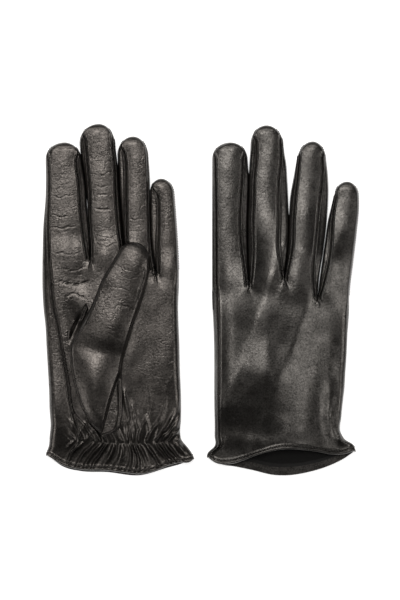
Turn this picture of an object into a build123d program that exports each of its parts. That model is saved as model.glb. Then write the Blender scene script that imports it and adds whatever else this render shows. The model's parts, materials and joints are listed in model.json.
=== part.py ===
from build123d import *
from dataclasses import dataclass
from math import asin, cos, degrees, radians, sin, tan
import os

# A pair of men's leather dress gloves laid flat, in millimetres.
# X runs from the left glove to the right one, Y towards the fingertips, Z up from the table.
# The left glove lies palm up with its thumb folded on the palm.
# The right glove lies back up, on its folded thumb, with its fingertips down on the table.

LEATHER = 0.9
LINING = 0.8
DIGIT_LINING_GAP = 0.2
HAND_LINING_GAP = 0.8
HAND_THICK = 12.0
HAND_ROUND = 5.0
DIGIT_ROUND = 4.8
LEFT_THUMB_THICK = 10.0
RIGHT_THUMB_THICK = 8.6
THUMB_ROUND = 3.4
THUMB_GAP = 0.3
HEM_THICK = 1.8
HEM_WIDTH = 5.0
ELASTIC_THICK = 0.65
ELASTIC_WIDTH = 5.0
ELASTIC_Y = -98.0
QUIRK_THICK = 1.2

# Every knuckle leaves a wedge open on the palm side, and a slit on the back.
KNUCKLE_SLIT = 0.2
KNUCKLE_WEDGE = 44.0
SIDE_CLEARANCE = 0.5
MIDDLE_CLEARANCE = 1.0
TABLE_GAP = 0.05

# A digit's outside and its hollow both start behind the knuckle, the hollow farther back, so that it is open.
OUTSIDE_START = -1.0
HOLLOW_START = -2.0
MOUTH_REACH = 2.0

# Blocks that cut shells into panels reach well past them.
BEYOND = 60.0
FAR_BEYOND = 4 * BEYOND

INDEX_SIDE = -1
LITTLE_SIDE = 1

# Places on the hand, counted across from its index edge and along Y.
THUMB_KNUCKLE = (38.3, -37.8)
THUMB_LEAN = 20.0
THUMB_LENGTH = 82.5
THUMB_BASE_WIDTH = 39.8
THUMB_TIP_WIDTH = 24.0
THUMB_HOLE_MARGIN = 4.0
THUMB_BASE_OVERLAP = 1.0
THUMB_SEAM_INDEX = [(24.8, -15.9), (19.7, -30.0), (20.5, -50.0)]
THUMB_SEAM_HEEL = [(20.5, -50.0), (28.5, -78.0), (44.0, -95.5)]
THUMB_SEAM_TURN = [(44.0, -95.5), (52.0, -91.5), (54.0, -82.0)]
THUMB_SEAM_LITTLE = [(54.0, -82.0), (57.0, -44.6), (62.1, -30.5), (24.8, -15.9)]
SIDE_SEAM = [(2.5, 70.0), (5.0, 31.0), (12.5, -26.0), (19.0, -66.0), (27.0, -98.0), (17.0, -130.0)]
ELASTIC_ACROSS = (29.0, 86.0)
QUIRK_ACROSS = 29.5
QUIRK_Y = -4.5
QUIRK_SIZE = (5.0, 8.5)
QUIRK_TURN = 25.0


@dataclass
class Digit:
    """A finger or thumb: its knuckle, its lean from Y towards the little finger, and its size."""

    name: str
    knuckle: tuple
    lean: float
    length: float
    base_width: float
    tip_width: float
    fourchettes: tuple = ()
    cut_reach: tuple = (SIDE_CLEARANCE, SIDE_CLEARANCE)


@dataclass
class Glove:
    """One glove of the pair. up is 1 with the palm up, and -1 with the palm down."""

    name: str
    up: int
    level: float
    index_edge: float
    thumb_thick: float
    hand_sections: list
    cuff_tip_y: float
    palm_hem_drop: float
    back_hem_drop: float
    fingers: list


MIDDLE_SIDE = (LITTLE_SIDE,)
RING_SIDE = (INDEX_SIDE,)
BOTH_SIDES = (INDEX_SIDE, LITTLE_SIDE)
WIDE = 4.0

left_glove = Glove(
    name="left",
    up=1,
    level=0.0,
    index_edge=-112.0,
    thumb_thick=LEFT_THUMB_THICK,
    hand_sections=[
        (-127.0, -109.9, -4.4),
        (-112.0, -109.9, -4.4),
        (-97.0, -106.4, -14.4),
        (-60.0, -107.4, -14.0),
        (0.0, -111.6, -16.1),
        (47.8, -112.0, -16.0),
    ],
    cuff_tip_y=-110.5,
    palm_hem_drop=13.0,
    back_hem_drop=13.9,
    fingers=[
        Digit("index", (-95.4, 38.0), -1.25, 73.3, 33.0, 24.4, MIDDLE_SIDE, (WIDE, SIDE_CLEARANCE)),
        Digit("middle", (-67.1, 48.0), -4.6, 76.6, 20.0, 25.0, BOTH_SIDES, (SIDE_CLEARANCE, MIDDLE_CLEARANCE)),
        Digit("ring", (-46.4, 47.0), -1.4, 68.5, 17.8, 22.0, BOTH_SIDES, (SIDE_CLEARANCE, WIDE)),
        Digit("little", (-25.0, 30.0), -2.7, 55.8, 18.4, 17.0, RING_SIDE, (SIDE_CLEARANCE, WIDE)),
    ],
)

right_glove = Glove(
    name="right",
    up=-1,
    level=RIGHT_THUMB_THICK,
    index_edge=8.0,
    thumb_thick=RIGHT_THUMB_THICK,
    hand_sections=[
        (-127.0, 4.2, 109.7),
        (-110.0, 4.2, 109.7),
        (-97.0, 9.0, 100.0),
        (-60.0, 9.4, 101.4),
        (0.0, 8.3, 104.8),
        (47.8, 8.0, 109.0),
    ],
    cuff_tip_y=-109.0,
    palm_hem_drop=15.4,
    back_hem_drop=-2.5,
    fingers=[
        Digit("index", (20.2, 38.0), 0.8, 73.3, 24.2, 24.0, MIDDLE_SIDE, (WIDE, SIDE_CLEARANCE)),
        Digit("middle", (46.3, 48.0), 0.2, 75.4, 26.0, 23.4, BOTH_SIDES, (SIDE_CLEARANCE, MIDDLE_CLEARANCE)),
        Digit("ring", (72.9, 47.0), 5.3, 65.3, 24.8, 20.0, BOTH_SIDES, (SIDE_CLEARANCE, WIDE)),
        Digit("little", (96.4, 30.0), 8.4, 54.2, 21.8, 17.4, RING_SIDE, (SIDE_CLEARANCE, WIDE)),
    ],
)


def hand_middle(glove):
    """Height of the middle of the hand's thickness."""
    return glove.level + HAND_THICK / 2


def palm_face(glove):
    """Height of the palm's outer face."""
    return hand_middle(glove) + glove.up * HAND_THICK / 2


def digit_plane(point, lean, slope=0.0):
    """Frame of a digit at its knuckle: x across, y towards the tip, z up."""
    turn = radians(lean)
    fall = radians(slope)
    across = Vector(cos(turn), -sin(turn), 0)
    along = Vector(sin(turn) * cos(fall), cos(turn) * cos(fall), -sin(fall))
    return Plane(origin=point, x_dir=across, z_dir=across.cross(along))


def finger_slope(glove, finger):
    """Angle at which a finger falls from the hand's level to the table."""
    return degrees(asin(max(glove.level - TABLE_GAP, 0) / (finger.length - DIGIT_ROUND)))


def digit_body(plane, digit, thick, rounding, inset, start):
    """Soft flattened finger, closed at its round tip, with every wall moved in by inset."""
    half_thick = thick / 2 - inset
    half_base = digit.base_width / 2 - inset
    half_tip = digit.tip_width / 2 - inset
    shoulder = digit.length - digit.tip_width / 2
    with BuildPart() as body:
        with BuildSketch(plane.offset(-half_thick)):
            with BuildLine():
                Polyline((-half_tip, shoulder), (-half_base, 0), (-half_base, start), (half_base, start),
                         (half_base, 0), (half_tip, shoulder))
                ThreePointArc((half_tip, shoulder), (0, digit.length - inset), (-half_tip, shoulder))
            make_face()
        extrude(amount=2 * half_thick)
        faces = body.faces().sort_by(Axis(plane.origin, plane.z_dir))
        rims = faces[0].edges() + faces[-1].edges()
        rims = rims.sort_by(Axis(plane.origin, plane.y_dir))[2:]
        fillet(rims, rounding - inset)
    return body.part


def knuckle_cutter(plane, up, width, reach, along):
    """Prism that clears one side of a knuckle: the digit's side behind it, or the hand's side ahead of it."""
    tall = HAND_THICK
    start = along * KNUCKLE_SLIT
    wedge = along * (KNUCKLE_SLIT + tall * tan(radians(KNUCKLE_WEDGE)))
    far = -along * BEYOND
    side = Plane(origin=plane.origin, x_dir=plane.y_dir, z_dir=plane.x_dir)
    with BuildPart() as cutter:
        with BuildSketch(side.offset(-width / 2 - reach[0])):
            with BuildLine():
                Polyline((far, -up * tall), (start, -up * tall), (start, 0), (wedge, up * tall), (far, up * tall),
                         close=True)
            make_face()
        extrude(amount=width + reach[0] + reach[1])
    return cutter.part


def digit_shell(plane, digit, up, thick, rounding, outside, inside):
    """Hollow digit between two insets, open at the knuckle."""
    with BuildPart() as shell:
        add(digit_body(plane, digit, thick, rounding, outside, OUTSIDE_START))
        add(digit_body(plane, digit, thick, rounding, inside, HOLLOW_START), mode=Mode.SUBTRACT)
        add(knuckle_cutter(plane, up, digit.base_width, (MOUTH_REACH, MOUTH_REACH), 1), mode=Mode.SUBTRACT)
    return shell.part


def block(plane, x_range, z_range):
    """Long block in a digit's frame, to cut a shell into its panels."""
    with BuildPart() as region:
        with BuildSketch(plane.offset(z_range[0])):
            with BuildLine():
                Polyline((x_range[0], -BEYOND), (x_range[1], -BEYOND), (x_range[1], 2 * BEYOND),
                         (x_range[0], 2 * BEYOND), close=True)
            make_face()
        extrude(amount=z_range[1] - z_range[0])
    return region.part


def common(first, second):
    """The part of a shell inside a region."""
    with BuildPart() as shared:
        add(first)
        add(second, mode=Mode.INTERSECT)
    return shared.part


def without(first, *others):
    """What is left of a shell when regions are cut away."""
    with BuildPart() as rest:
        add(first)
        for other in others:
            add(other, mode=Mode.SUBTRACT)
    return rest.part


def write(shape, name):
    shape.label = name
    export_step(shape, f"parts/{name}.step")


def make_finger(glove, finger):
    """Palm strip, back strip, fourchettes and lining of one finger."""
    slope = finger_slope(glove, finger)
    plane = digit_plane((*finger.knuckle, hand_middle(glove)), finger.lean, slope)
    name = f"{glove.name}_{finger.name}"
    leather = digit_shell(plane, finger, glove.up, HAND_THICK, DIGIT_ROUND, 0, LEATHER)
    seam = HAND_THICK / 2 - DIGIT_ROUND / 2
    outer = HAND_THICK
    palm_range = (seam, outer) if glove.up > 0 else (-outer, -seam)
    palm_region = block(plane, (-BEYOND, BEYOND), palm_range)
    regions = [palm_region]
    write(common(leather, palm_region), f"{name}_palm")
    side_names = {INDEX_SIDE: "inner_fourchette", LITTLE_SIDE: "outer_fourchette"}
    for side in finger.fourchettes:
        x_range = (0, BEYOND) if side == LITTLE_SIDE else (-BEYOND, 0)
        side_region = block(plane, x_range, (-seam, seam))
        regions.append(side_region)
        label = side_names[side] if len(finger.fourchettes) > 1 else "fourchette"
        write(common(leather, side_region), f"{name}_{label}")
    write(without(leather, *regions), f"{name}_back")
    inside = LEATHER + DIGIT_LINING_GAP
    lining = digit_shell(plane, finger, glove.up, HAND_THICK, DIGIT_ROUND, inside, inside + LINING)
    write(lining, f"{name}_lining")


def hand_body(glove, inset):
    """Flattened hand and cuff, open at both ends, with its walls moved in by inset."""
    with BuildPart() as body:
        for y, x_low, x_high in glove.hand_sections:
            middle = ((x_low + x_high) / 2, y, hand_middle(glove))
            with BuildSketch(Plane(origin=middle, x_dir=(1, 0, 0), z_dir=(0, 1, 0))):
                RectangleRounded(x_high - x_low - 2 * inset, HAND_THICK - 2 * inset, HAND_ROUND - inset)
        loft(ruled=True)
    return body.part


def hand_shell(glove, outside, inside):
    """Hand between two insets, cut back at each finger's knuckle."""
    with BuildPart() as shell:
        add(hand_body(glove, outside))
        add(hand_body(glove, inside), mode=Mode.SUBTRACT)
        for finger in glove.fingers:
            plane = digit_plane((*finger.knuckle, hand_middle(glove)), finger.lean)
            cutter = knuckle_cutter(plane, glove.up, finger.base_width, finger.cut_reach, -1)
            add(cutter, mode=Mode.SUBTRACT)
    return shell.part


def slab(glove, side):
    """Half space, as a block, on one side of the middle of the hand: side is 1 above it and -1 below."""
    with BuildPart() as half:
        with BuildSketch(Plane.XY.offset(hand_middle(glove))):
            Rectangle(2 * FAR_BEYOND, 2 * FAR_BEYOND)
        extrude(amount=side * BEYOND)
    return half.part


def cuff_band(glove, drop, low, high):
    """Region between two curves that follow the cuff's edge, low and high above it."""
    x_low, x_high = glove.hand_sections[0][1:]
    x_mid = (x_low + x_high) / 2
    y = glove.cuff_tip_y
    with BuildPart() as band:
        with BuildSketch(Plane.XY.offset(-BEYOND)):
            with BuildLine():
                ThreePointArc((x_low, y + low), (x_mid, y - drop + low), (x_high, y + low))
                Polyline((x_high, y + low), (x_high + WIDE, y + low), (x_high + WIDE, y + high), (x_high, y + high))
                ThreePointArc((x_high, y + high), (x_mid, y - drop + high), (x_low, y + high))
                Polyline((x_low, y + high), (x_low - WIDE, y + high), (x_low - WIDE, y + low), (x_low, y + low))
            make_face()
        extrude(amount=2 * BEYOND)
    return band.part


def placed(glove, points):
    """Points counted from the hand's index edge, as points of the pair."""
    return [(glove.index_edge + across, y) for across, y in points]


def seam_region(glove):
    """Everything on the little-finger side of the side seam, where the palm panel is."""
    seam = placed(glove, SIDE_SEAM)
    with BuildPart() as region:
        with BuildSketch(Plane.XY.offset(-BEYOND)):
            with BuildLine():
                Spline(*seam)
                Polyline(seam[-1], (seam[-1][0] + FAR_BEYOND, seam[-1][1]), (seam[0][0] + FAR_BEYOND, seam[0][1]),
                         seam[0])
            make_face()
        extrude(amount=2 * BEYOND)
    return region.part


def thumb_footprint(glove, inset, low, high):
    """Prism of the sewn base of the thumb, moved in by inset, from one height to another."""
    with BuildPart() as foot:
        with BuildSketch(Plane.XY.offset(low)):
            with BuildLine():
                Polyline(*placed(glove, THUMB_SEAM_INDEX))
                ThreePointArc(*placed(glove, THUMB_SEAM_HEEL))
                ThreePointArc(*placed(glove, THUMB_SEAM_TURN))
                Polyline(*placed(glove, THUMB_SEAM_LITTLE))
            make_face()
            if inset:
                offset(amount=-inset, kind=Kind.INTERSECTION)
        extrude(amount=high - low)
    return foot.part


def make_thumb(glove):
    """Thumb's two leather faces and lining, and its sewn base on the palm. Returns the hole it covers."""
    knuckle = (glove.index_edge + THUMB_KNUCKLE[0], THUMB_KNUCKLE[1])
    thumb = Digit("thumb", knuckle, THUMB_LEAN, THUMB_LENGTH, THUMB_BASE_WIDTH, THUMB_TIP_WIDTH)
    near = palm_face(glove)
    far = near + glove.up * glove.thumb_thick
    free_thick = glove.thumb_thick - THUMB_GAP
    free_middle = far - glove.up * free_thick / 2
    plane = digit_plane((*thumb.knuckle, free_middle), thumb.lean)
    leather = digit_shell(plane, thumb, glove.up, free_thick, THUMB_ROUND, 0, LEATHER)
    face_range = (0, BEYOND) if glove.up > 0 else (-BEYOND, 0)
    face_region = block(plane, (-BEYOND, BEYOND), face_range)
    write(common(leather, face_region), f"{glove.name}_thumb_front")
    write(without(leather, face_region), f"{glove.name}_thumb_back")
    inside = LEATHER + DIGIT_LINING_GAP
    lining = digit_shell(plane, thumb, glove.up, free_thick, THUMB_ROUND, inside, inside + LINING)
    write(lining, f"{glove.name}_thumb_lining")
    low, high = sorted((near, far))
    inner_low, inner_high = sorted((near - glove.up * THUMB_BASE_OVERLAP, far - glove.up * LEATHER))
    cutter = knuckle_cutter(plane, glove.up, thumb.base_width, (WIDE, WIDE), -1)
    base = without(
        thumb_footprint(glove, 0, low, high), thumb_footprint(glove, LEATHER, inner_low, inner_high), cutter
    )
    write(base, f"{glove.name}_thumb_base")
    hole = thumb_footprint(glove, THUMB_HOLE_MARGIN, near - WIDE, near + WIDE)
    hole_plane = digit_plane((*thumb.knuckle, near), thumb.lean)
    return without(hole, knuckle_cutter(hole_plane, glove.up, thumb.base_width, (WIDE, WIDE), -1))


def make_hand(glove):
    """Back and palm panels, their hems, the lining and the wrist elastic."""
    thumb_hole = make_thumb(glove)
    palm_half = slab(glove, glove.up)
    back_half = slab(glove, -glove.up)
    palm_side = common(palm_half, seam_region(glove))
    leather = hand_shell(glove, 0, LEATHER)
    palm_above = cuff_band(glove, glove.palm_hem_drop, HEM_WIDTH, FAR_BEYOND)
    back_above = cuff_band(glove, glove.back_hem_drop, HEM_WIDTH, FAR_BEYOND)
    palm = common(common(leather, palm_side), palm_above)
    write(without(palm, thumb_hole), f"{glove.name}_palm_panel")
    wrap = common(without(common(leather, palm_half), palm_side), palm_above)
    with BuildPart() as back:
        add(common(common(leather, back_half), back_above))
        add(wrap)
    write(back.part, f"{glove.name}_back_panel")
    edge = hand_shell(glove, 0, HEM_THICK)
    palm_edge = cuff_band(glove, glove.palm_hem_drop, 0, HEM_WIDTH)
    back_edge = cuff_band(glove, glove.back_hem_drop, 0, HEM_WIDTH)
    write(common(common(edge, palm_half), palm_edge), f"{glove.name}_palm_hem")
    write(common(common(edge, back_half), back_edge), f"{glove.name}_back_hem")
    inside = LEATHER + HAND_LINING_GAP
    lining = hand_shell(glove, inside, inside + LINING)
    with BuildPart() as hand_lining:
        add(common(common(lining, palm_half), palm_above))
        add(common(common(lining, back_half), back_above))
        add(thumb_hole, mode=Mode.SUBTRACT)
    write(hand_lining.part, f"{glove.name}_hand_lining")
    leather_inside = palm_face(glove) - glove.up * LEATHER
    x_low, x_high = (glove.index_edge + across for across in ELASTIC_ACROSS)
    with BuildPart() as elastic:
        with BuildSketch(Plane.XY.offset(leather_inside)):
            with Locations(((x_low + x_high) / 2, ELASTIC_Y)):
                Rectangle(x_high - x_low, ELASTIC_WIDTH)
        extrude(amount=-glove.up * ELASTIC_THICK)
    write(elastic.part, f"{glove.name}_wrist_elastic")
    with BuildPart() as quirk:
        with BuildSketch(Plane.XY.offset(palm_face(glove))):
            with Locations(Location((glove.index_edge + QUIRK_ACROSS, QUIRK_Y, 0), (0, 0, QUIRK_TURN))):
                Ellipse(QUIRK_SIZE[0] / 2, QUIRK_SIZE[1] / 2)
        extrude(amount=glove.up * QUIRK_THICK)
    write(quirk.part, f"{glove.name}_thumb_quirk")


os.makedirs("parts", exist_ok=True)
for pair_glove in (left_glove, right_glove):
    make_hand(pair_glove)
    for pair_finger in pair_glove.fingers:
        make_finger(pair_glove, pair_finger)
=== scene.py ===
import bpy
import json
import math
import random
import numpy as np
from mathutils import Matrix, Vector
from dataclasses import dataclass


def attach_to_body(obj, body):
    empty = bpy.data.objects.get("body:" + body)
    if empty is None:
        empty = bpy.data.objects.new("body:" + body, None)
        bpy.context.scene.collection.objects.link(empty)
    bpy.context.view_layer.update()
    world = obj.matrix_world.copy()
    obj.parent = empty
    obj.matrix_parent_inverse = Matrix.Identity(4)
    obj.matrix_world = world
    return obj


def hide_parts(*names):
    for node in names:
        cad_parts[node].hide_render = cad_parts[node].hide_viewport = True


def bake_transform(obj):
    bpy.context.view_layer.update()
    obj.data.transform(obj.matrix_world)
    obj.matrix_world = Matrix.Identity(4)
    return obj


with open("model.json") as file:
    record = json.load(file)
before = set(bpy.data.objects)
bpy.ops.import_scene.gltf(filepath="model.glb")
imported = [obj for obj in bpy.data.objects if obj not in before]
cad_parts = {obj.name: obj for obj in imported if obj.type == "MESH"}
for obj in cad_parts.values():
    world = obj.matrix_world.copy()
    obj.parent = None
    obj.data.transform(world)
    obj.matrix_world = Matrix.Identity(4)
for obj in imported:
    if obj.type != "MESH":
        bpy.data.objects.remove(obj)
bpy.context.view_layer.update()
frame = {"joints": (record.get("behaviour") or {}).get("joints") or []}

MM = 0.001

# Leather, lining and elastic, in millimetres.
LEATHER = 0.8
HEM_LEATHER = 1.3
HEM_BAND = 4.6
HEM_LINE = 3.0
LINING = 0.5
HAND_LINING_DEPTH = 1.3
FINGER_LINING_DEPTH = 1.2
ELASTIC = 0.35
ELASTIC_DEPTH = 0.85
ELASTIC_LEVELS = (-101.0, -95.5)
GATHER_LINE = -101.6
QUIRK_LEATHER = 0.4

# Pitch, length and width of the stitches, in millimetres.
SEAM_STITCH = (1.75, 1.05, 0.5)
HEM_STITCH = (2.1, 1.3, 0.6)

# Heights above the table and radii of rolled edges and tips, in millimetres.
REST_GAP = 0.15
THUMB_HUMP = 8.6
PALM_TOP = 10.55
EDGE_ROLL = 4.6
WALL_ROLL = 1.7
FINGER_TIP_ROLL = 6.5
THUMB_TIP_ROLL = 8
CROTCH_RING = 2.7
CROTCH_RING_SIZE = 0.12

# Spacing of the grids, in millimetres or in rows and columns.
ROW_STEP = 0.5
HEM_STEP = 0.24
STRIP_COLUMNS = 56
SIDE_COLUMNS = 10
WRAP_COLUMNS = 26
THUMB_COLUMNS = 64
TIP_ROWS = 20
FINGER_TURN = 8
THUMB_TURN = 6
JOIN_ROWS = 7
LINING_ROWS = 4
LINING_TIP_ROWS = 14

# The little finger is the last of a glove's four.
LITTLE = 3


# ---------------- small helpers

def curve(points):
    """Smooth function through a few (place, value) points, flat beyond its ends."""
    places, values = np.array(sorted(points), float).T
    if len(points) > 2:
        slopes = np.gradient(values, places)
    else:
        slopes = np.full(2, (values[1] - values[0]) / (places[1] - places[0]))

    def at(place):
        place = np.clip(np.asarray(place, float), places[0], places[-1])
        k = np.clip(np.searchsorted(places, place, side="right") - 1, 0, len(places) - 2)
        span = places[k + 1] - places[k]
        t = (place - places[k]) / span
        near = (1 + 2 * t) * (1 - t) ** 2 * values[k] + t * (1 - t) ** 2 * span * slopes[k]
        far = t * t * (3 - 2 * t) * values[k + 1] + t * t * (t - 1) * span * slopes[k + 1]
        return near + far

    return at


def smooth(t):
    t = np.clip(t, 0, 1)
    return t * t * (3 - 2 * t)


def bump(distance, width):
    return np.exp(-(distance / width) ** 2)


def roll(distance, radius, power=2.0):
    """Height of a rolled edge, from 0 at the edge to 1 at the radius."""
    t = np.clip(distance / np.maximum(radius, 0.05), 0, 1)
    return np.maximum(1 - (1 - t) ** power, 0) ** (1 / power)


def cap_width(distance, length, power):
    """Share of the full width at a distance from a rounded end."""
    t = np.clip(1 - distance / length, 0, 1)
    return np.sqrt(np.maximum(1 - t ** power, 1e-4))


def spread(count, pinch):
    """Fractions from 0 to 1, closer together at both ends."""
    t = np.linspace(0, 1, count + 1)
    return t - pinch * np.sin(2 * np.pi * t) / (2 * np.pi)


def unit(v):
    return v / np.maximum(np.linalg.norm(v, axis=-1, keepdims=True), 1e-9)


# ---------------- shape of the gloves

# Places are in millimetres: across from the hand's index edge, and along the hand from the frame's origin.

@dataclass
class Finger:
    """One finger as it lies: its edges and how far inside them its seams run, as (place along, value)."""

    name: str
    tip: tuple
    shoulder: float
    left: list
    right: list
    left_seam: list
    right_seam: list


@dataclass
class Glove:
    """One glove as it lies.

    Creases and folds are lines of points, each with a depth or height and a width. Dents are a centre,
    two radii, a turn in degrees and a height. Wrinkled areas are a centre, two radii, a turn, a stretch
    and a depth.
    """

    name: str
    palm_up: bool
    edge: float
    swing: float
    lean: float
    dome: float
    fingers: list
    crotches: list
    left: list
    right: list
    side_seam: list
    top_hem: list
    bottom_hem: list
    creases: list
    folds: list
    dents: list
    wrinkled: list


left_fingers = [
    Finger("index", (15.6, 111.3), 12.5,
           [(30.4, 0), (53.8, 0.7), (70.8, 2.1), (111.3, 2.1)],
           [(30.4, 34.1), (35.3, 34.2), (49.5, 33.3), (65.9, 31.8), (85, 30.3), (95.7, 28.5),
            (111.3, 27)],
           [(30.4, 5), (68, 2.8), (96, 2.2), (111.3, 1)],
           [(30.4, 2.4), (36, 3.6), (49, 4.6), (74, 4.7), (96, 4.1), (111.3, 2)]),
    Finger("middle", (40, 124.4), 14.5,
           [(30.4, 34.1), (42.4, 34), (57.3, 32.7), (74.4, 31.1), (91.7, 29), (99.2, 27.7), (107.7, 26.4),
            (124.4, 26)],
           [(38.9, 57.9), (42.4, 57.4), (60.2, 55.8), (77.9, 54.4), (95.7, 53.3), (106.3, 51.9),
            (124.4, 50.6)],
           [(30.4, 1.4), (49, 0.9), (74.4, 2.6), (91.7, 3.4), (109, 4.5), (124.4, 3)],
           [(38.9, 2.4), (57, 2.8), (83, 2.4), (106, 1.7), (124.4, 1)]),
    Finger("ring", (64.2, 115.5), 13.5,
           [(38.9, 57.9), (42.4, 57.4), (57.3, 55.9), (74.4, 54.5), (92.1, 53.5), (104.9, 53),
            (115.5, 53.3)],
           [(20.4, 80.2), (26.8, 78.6), (35.3, 77.2), (57.3, 76), (67.3, 75.8), (82.9, 75.8),
            (100.3, 75.1), (115.5, 74)],
           [(38.9, 2.2), (57, 3.7), (74, 4.9), (100, 5.5), (115.5, 3)],
           [(20.4, 2), (30, 1.2), (82, 1), (115.5, 0.8)]),
    Finger("little", (84.1, 85.7), 9.5,
           [(20.4, 80.2), (26.8, 78.4), (35.3, 77), (49.5, 76), (70.8, 75.8), (80.8, 76.2), (85.7, 76.6)],
           [(20.4, 96.6), (38.9, 95.8), (53, 94.9), (63.7, 94.1), (75.1, 93.2), (85.7, 92)],
           [(20.4, 2.2), (27.2, 3.9), (42.4, 5.7), (57.3, 6.9), (67.3, 6.6), (78.6, 5), (85.7, 3)],
           [(20.4, 0), (85.7, 0)]),
]

left_glove = Glove(
    name="left",
    palm_up=True,
    edge=-112,
    swing=0.26,
    lean=0.2,
    dome=0.17,
    fingers=left_fingers,
    crotches=[30.4, 38.9, 20.4],
    left=[(-109.5, 2.1), (-103.8, 4.3), (-96.7, 5), (-88.9, 5.7), (-78.3, 5), (-64, 4.6), (-44.2, 3.5),
          (-32.1, 2.8), (-18.6, 2.1), (-5.9, 0.7), (6.9, 0), (40, 0)],
    right=[(-112.4, 107.6), (-108.1, 105.4), (-103.8, 102.2), (-99.6, 98.7), (-94.6, 97.5), (-85.4, 98),
           (-67.6, 98), (-50, 97.3), (-32, 96.9), (-14.4, 96.2), (-0.2, 95.9), (21, 96.6), (40, 95.8)],
    side_seam=[(-117, 15), (-108, 17.5), (-98.2, 22), (-91.8, 19.7), (-76.6, 15.6), (-58.4, 13.6),
               (-40.3, 11.6), (-26.4, 10), (-4, 7.6), (9.8, 6.7), (30.4, 5)],
    top_hem=[(2.1, -109.5), (6.4, -112.4), (14.2, -117), (27, -120.2), (45.1, -120.9), (58.7, -122.5),
             (69.6, -123.4), (79.5, -121.2), (88.7, -117.5), (97.3, -115.3), (104.4, -114.8),
             (107.6, -112.4)],
    bottom_hem=[(2.1, -109.5), (14.2, -118.2), (27, -121.5), (45.1, -122.2), (69.6, -124.4), (88.7, -119),
                (97.3, -116.6), (107.6, -112.4)],
    creases=[
        ([(36, 89.8), (43, 88.8), (50, 90.2)], 0.45, 0.6), ([(36.5, 80.6), (42, 79.4), (47, 80.2)], 0.4, 0.6),
        ([(37, 74.5), (44, 73.6), (50, 74.6)], 0.35, 0.6), ([(37, 64.5), (44, 63.2), (52, 64.2)], 0.5, 0.7),
        ([(38, 38.8), (46, 37.6), (54, 38.8)], 0.5, 0.8), ([(6, 73.5), (14, 72.4), (22, 73.4)], 0.35, 0.6),
        ([(5, 59.4), (13, 58.2), (22, 59.6)], 0.4, 0.6), ([(6, 51.6), (15, 50.2), (24, 51.4)], 0.55, 0.8),
        ([(8, 33.4), (18, 32), (28, 33.4)], 0.4, 0.8), ([(8, 22), (20, 20.2), (32, 23)], 0.25, 0.9),
        ([(60, 57.8), (66, 56.8), (72, 57.8)], 0.35, 0.6), ([(84, 32.8), (89, 32), (94, 33)], 0.35, 0.7),
        ([(12, 14), (22, 10), (34, 13)], 0.7, 1.3), ([(16, 2), (24, 4), (32, 1)], 0.5, 1),
    ],
    folds=[
        ([(29, -7), (26.4, -14), (22.6, -22), (19, -32)], -2.6, 1.9),
        ([(57.4, -60), (58.8, -70), (61.4, -83), (64.8, -101)], 1.3, 1.3),
        ([(62, -70), (66, -82), (70.4, -100)], 0.8, 1.4), ([(76, -100), (75, -90), (73, -80)], 0.8, 1.4),
        ([(84.6, -101), (88, -91), (95.6, -76)], 1.2, 1.3), ([(89.6, -101), (92.6, -94), (97, -86)], 1, 1.2),
        ([(80, -100), (82.6, -90), (87, -80)], 0.9, 1.3), ([(26, -101), (27.4, -93), (32, -84)], 0.9, 1.2),
        ([(22.4, -98), (21.6, -84), (19.4, -66)], 0.7, 1), ([(30.5, -101), (33, -96), (37, -91)], 0.8, 1.1),
    ],
    dents=[
        (26, 13, 14, 10, -10, -0.55), (24, -16, 5, 14, 20, -1.2), (46, 30, 12, 8, 0, 0.4),
        (84, -40, 10, 46, 0, 0.5), (62, -20, 5, 40, -14, -0.4), (10, -70, 6, 16, 4, 0.5),
        (30, 45, 10, 6, 0, -0.3),
    ],
    wrinkled=[
        (43, 84, 11, 22, 0, 2.4, 0.3), (15, 62, 12, 26, 0, 2.4, 0.26), (20, 15, 16, 14, 0, 1.8, 0.4),
        (88, -38, 12, 24, 0, 1.8, 0.26), (64, 92, 9, 18, 30, 2, 0.22), (66, 50, 10, 16, 0, 2, 0.22),
        (88, 60, 6, 20, 0, 2, 0.2), (46, 42, 12, 10, 0, 2, 0.26),
    ],
)

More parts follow.
